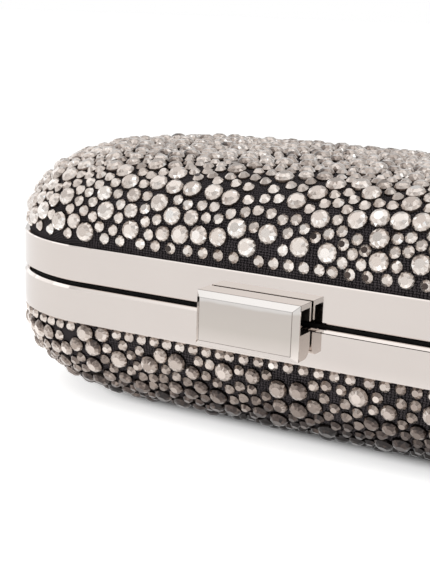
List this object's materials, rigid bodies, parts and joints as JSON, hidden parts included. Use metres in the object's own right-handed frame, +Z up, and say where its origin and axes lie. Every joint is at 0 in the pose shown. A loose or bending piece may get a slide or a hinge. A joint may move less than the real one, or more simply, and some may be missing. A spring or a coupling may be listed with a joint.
{
  "type": "clutch bag",
  "caption": "Hard-shelled evening clutch, a crystal-set pillow shape on a polished metal frame that opens on rear hinges and shuts with a sprung lever clasp.",
  "frame": {"origin": "middle of the flat of the lower half that the bag lies on", "axes": "+X along the bag's length, -Y towards the clasp, +Y towards the hinges, +Z up through the lid"},
  "size_m": [0.1683, 0.1055, 0.0635],
  "materials": {
    "crystal_cloth": "charcoal cloth set all over with round faceted flat-back crystals in pale smoky grey",
    "board": "moulded fibre board, matte",
    "satin": "black satin lining",
    "polished_nickel": "mirror-polished nickel plate, slightly warm",
    "blackened_metal": "blackened strip, satin",
    "plain_steel": "plated steel, satin"
  },
  "bodies": {
    "lower_half": {"lower_shell": "board", "lower_cover": "crystal_cloth", "lower_band": "polished_nickel", "locating_lip": "blackened_metal", "lower_lining": "satin", "clasp_base": "plain_steel", "clasp_pin": "plain_steel", "clasp_spring": "plain_steel", "clasp_rivet_left": "plain_steel", "clasp_rivet_right": "plain_steel", "hinge_left_lower_leaf": "plain_steel", "hinge_left_pin": "plain_steel", "hinge_left_lower_leaf_rivet_1": "plain_steel", "hinge_left_lower_leaf_rivet_2": "plain_steel", "hinge_right_lower_leaf": "plain_steel", "hinge_right_pin": "plain_steel", "hinge_right_lower_leaf_rivet_1": "plain_steel", "hinge_right_lower_leaf_rivet_2": "plain_steel"},
    "upper_half": {"upper_shell": "board", "upper_cover": "crystal_cloth", "upper_band": "polished_nickel", "upper_lining": "satin", "clasp_catch": "polished_nickel", "hinge_left_upper_leaf": "plain_steel", "hinge_left_upper_leaf_rivet_1": "plain_steel", "hinge_left_upper_leaf_rivet_2": "plain_steel", "hinge_right_upper_leaf": "plain_steel", "hinge_right_upper_leaf_rivet_1": "plain_steel", "hinge_right_upper_leaf_rivet_2": "plain_steel"},
    "clasp": {"clasp_lever": "polished_nickel"}
  },
  "joints": [
    {"name": "lid_hinge", "type": "hinge", "parent": "lower_half", "child": "upper_half", "pos_m": [0, 0.0494, 0.0315], "axis": [-1, 0, 0], "range_deg": [0, 95]},
    {"name": "clasp_pivot", "type": "hinge", "parent": "lower_half", "child": "clasp", "pos_m": [0, -0.0511, 0.0269], "axis": [1, 0, 0], "range_deg": [0, 20], "stiffness_Nm_per_rad": 0.002, "springref_deg": -5.73}
  ]
}
